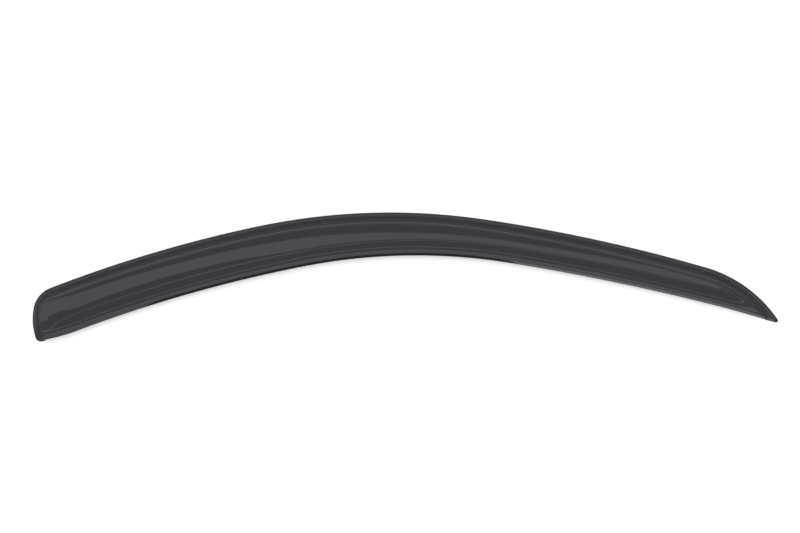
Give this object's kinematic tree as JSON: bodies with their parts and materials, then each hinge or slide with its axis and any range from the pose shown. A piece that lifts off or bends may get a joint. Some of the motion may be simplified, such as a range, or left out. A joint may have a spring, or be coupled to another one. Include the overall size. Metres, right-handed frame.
{
  "type": "window rain deflector",
  "caption": "Long arched strip of smoked acrylic for a front side window: a flat taped flange, a raised convex crown and a flared lower lip that sheds rain while the window is open.",
  "frame": {"origin": "on the back of the flange, midway across its tape land, where the upper edge peaks", "axes": "+X from the rear end to the pointed front tip, +Y towards the flange along the upper edge, +Z out of the door, which is up as it lies"},
  "size_m": [1.1299, 0.1951, 0.0237],
  "materials": {
    "smoked_acrylic": "high-gloss dark smoke, neutral grey"
  },
  "bodies": {
    "root": {"deflector_shell": "smoked_acrylic"}
  },
  "joints": []
}
